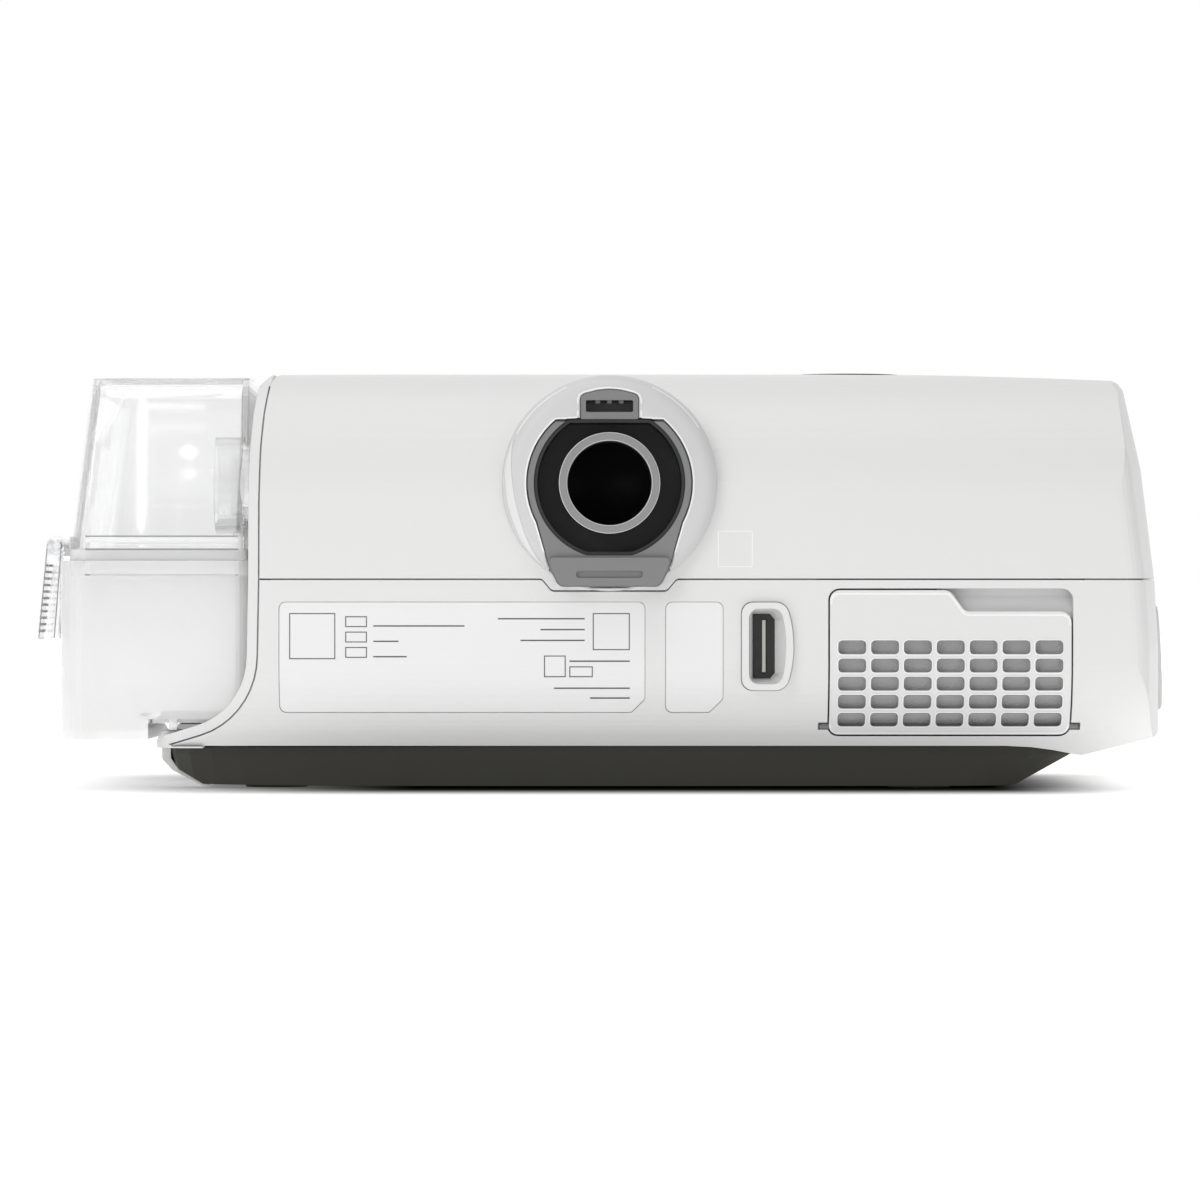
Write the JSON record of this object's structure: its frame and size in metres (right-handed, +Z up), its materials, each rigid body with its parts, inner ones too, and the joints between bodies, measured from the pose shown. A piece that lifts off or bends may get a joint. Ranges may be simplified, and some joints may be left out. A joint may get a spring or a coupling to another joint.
{
  "type": "bedside breathing machine",
  "caption": "Bedside ventilation machine with a rear air outlet, hinged filter cover, start button and a clear heated water tub that slides out of one end.",
  "frame": {"origin": "centre of the overall footprint, at the height of the table", "axes": "+X towards the water tub, +Y towards the rear face with the air outlet, +Z up"},
  "size_m": [0.2564, 0.1386, 0.094],
  "materials": {
    "shell": "fine satin moulding",
    "boss": "fine satin moulding, a shade greyer",
    "foot": "matte dark olive grey",
    "rubber": "soft matte",
    "fascia": "high gloss black",
    "dark_plastic": "satin",
    "grey_plastic": "satin mid grey",
    "bay": "satin light grey",
    "silver_plastic": "satin silver grey",
    "silicone": "translucent grey silicone",
    "duct": "natural plastic",
    "contact": "tin plated",
    "dark_contact": "dark plated pins",
    "label": "smooth film",
    "filter_media": "fine fibre",
    "foam": "open cell foam",
    "steel": "bright",
    "magnet": "dull",
    "winding": "varnished wire",
    "flex": "amber film",
    "button": "satin",
    "board": "solder mask",
    "sensor": "moulded",
    "card": "moulded",
    "heater": "brushed",
    "clear_plastic": "clear moulded plastic",
    "milky_plastic": "milky clear moulded plastic"
  },
  "bodies": {
    "housing": {"top_cover": "shell", "lower_housing": "shell", "base_foot": "foot", "rubber_feet": "rubber", "dock_frame": "shell", "front_fascia": "fascia", "display_module": "dark_plastic", "display_flex": "flex", "outlet_boss": "boss", "outlet_duct": "dark_plastic", "port_seals": "silicone", "blower_duct": "duct", "tube_socket": "grey_plastic", "tube_contacts": "dark_contact", "label_plate_large": "label", "label_plate_small": "label", "power_bezel": "shell", "power_insulator": "dark_plastic", "power_blade": "contact", "filter_bay": "bay", "inlet_plenum": "duct", "silencer_foam": "foam", "blower_case_lower": "dark_plastic", "blower_case_upper": "dark_plastic", "motor_stator": "winding", "motor_cap": "dark_plastic", "motor_bearings": "steel", "blower_mounts": "silicone", "motor_flex": "flex", "button_ring": "dark_plastic", "button_board": "board", "button_switch": "dark_plastic", "button_spring": "steel", "main_board": "board", "board_parts": "dark_plastic", "flow_sensor": "sensor", "radio_board": "board", "card_board": "board", "heater_springs": "steel", "housing_screws": "steel"},
    "outlet_connector": {"outlet_yoke": "grey_plastic", "outlet_cup": "dark_plastic", "outlet_nozzle": "silver_plastic", "outlet_seal": "silicone"},
    "filter_door": {"filter_cover": "shell", "filter_cover_pins": "grey_plastic", "air_filter": "filter_media"},
    "blower_rotor": {"impeller": "duct", "motor_shaft": "steel", "motor_magnet": "magnet"},
    "button": {"start_button": "button"},
    "card_door": {"card_cover": "shell"},
    "card": {"memory_card": "card"},
    "heater": {"heater_plate": "heater"},
    "tub": {"tub_base": "milky_plastic", "tub_heat_plate": "heater"},
    "lid": {"tub_lid": "clear_plastic", "tub_seal": "silicone", "latch_pin": "steel"},
    "latch": {"tub_latch": "clear_plastic"}
  },
  "joints": [
    {"name": "tub_slide", "type": "slide", "parent": "housing", "child": "tub", "axis": [1, 0, 0], "range_m": [0, 0.13]},
    {"name": "lid_lift", "type": "slide", "parent": "tub", "child": "lid", "axis": [0, 0, 1], "range_m": [0, 0.06]},
    {"name": "latch_swing", "type": "hinge", "parent": "lid", "child": "latch", "pos_m": [0.1236, 0, 0.0547], "axis": [0, -1, 0], "range_deg": [0, 40]},
    {"name": "filter_door_swing", "type": "hinge", "parent": "housing", "child": "filter_door", "pos_m": [-0.0777, 0.0534, 0.01425], "axis": [-1, 0, 0], "range_deg": [0, 95]},
    {"name": "outlet_pull", "type": "slide", "parent": "housing", "child": "outlet_connector", "axis": [0, 1, 0], "range_m": [0, 0.04]},
    {"name": "start_press", "type": "slide", "parent": "housing", "child": "button", "axis": [0, 0, -1], "range_m": [0, 0.0012], "stiffness_N_per_m": 400, "springref_m": -0.0003, "deforming": ["button_spring"]},
    {"name": "blower_spin", "type": "hinge", "parent": "housing", "child": "blower_rotor", "pos_m": [-0.084, -0.012, 0], "axis": [0, 0, 1], "continuous": true},
    {"name": "card_door_swing", "type": "hinge", "parent": "housing", "child": "card_door", "pos_m": [-0.12705, 0, 0.0182], "axis": [0, -1, 0], "range_deg": [0, 100]},
    {"name": "card_eject", "type": "slide", "parent": "housing", "child": "card", "axis": [-1, 0, 0], "range_m": [-0.001, 0.0035]},
    {"name": "heater_float", "type": "slide", "parent": "housing", "child": "heater", "axis": [0, 0, -1], "range_m": [0, 0.001], "stiffness_N_per_m": 2000, "springref_m": -0.0005, "deforming": ["heater_springs"]}
  ]
}
